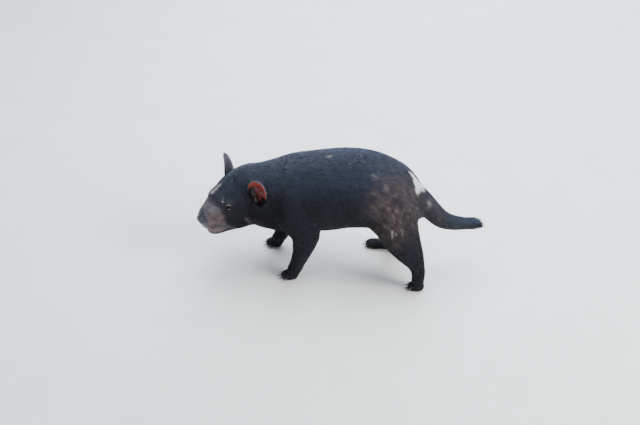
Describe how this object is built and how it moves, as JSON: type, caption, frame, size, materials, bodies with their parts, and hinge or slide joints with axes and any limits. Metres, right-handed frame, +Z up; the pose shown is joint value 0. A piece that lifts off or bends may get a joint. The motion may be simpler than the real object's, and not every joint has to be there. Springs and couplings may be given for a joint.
{
  "type": "tasmanian devil",
  "caption": "Stocky dark-furred marsupial carnivore in a slow walk, head turned left, cupped ears, thick tail, standing on flat soles.",
  "frame": {"origin": "on the floor, under the middle of the whole animal's box", "axes": "-X the way the body faces, -Y its left side, +Z up; the head is turned to the left of -X"},
  "size_m": [0.6562, 0.2034, 0.3077],
  "materials": {
    "body_fur": "coarse black fur with a blue-grey sheen, browner on the haunches, with a small white patch on the left of the rump",
    "leg_fur": "short near-black fur",
    "tail_fur": "dark grey-brown fur, longer towards the tip",
    "foot_skin": "dark skin with short fur, bare soles",
    "ear_skin": "thin pink-red skin with fine hair, dark furred on the back",
    "claw": "dark horn, slightly glossy",
    "eye": "wet dark brown"
  },
  "bodies": {
    "root": {"claw_front_left_1": "claw", "claw_front_left_2": "claw", "claw_front_left_3": "claw", "claw_front_left_4": "claw", "claw_front_left_5": "claw", "claw_front_right_1": "claw", "claw_front_right_2": "claw", "claw_front_right_3": "claw", "claw_front_right_4": "claw", "claw_front_right_5": "claw", "claw_hind_left_1": "claw", "claw_hind_left_2": "claw", "claw_hind_left_3": "claw", "claw_hind_left_4": "claw", "claw_hind_right_1": "claw", "claw_hind_right_2": "claw", "claw_hind_right_3": "claw", "claw_hind_right_4": "claw", "ear_left": "ear_skin", "ear_right": "ear_skin", "eye_left": "eye", "eye_right": "eye", "foot_front_left": "foot_skin", "foot_front_right": "foot_skin", "foot_hind_left": "foot_skin", "foot_hind_right": "foot_skin", "head": "body_fur", "leg_front_left": "leg_fur", "leg_front_right": "leg_fur", "leg_hind_left": "leg_fur", "leg_hind_right": "leg_fur", "neck": "body_fur", "tail_end": "tail_fur", "tail_root": "tail_fur", "torso": "body_fur"}
  },
  "joints": []
}
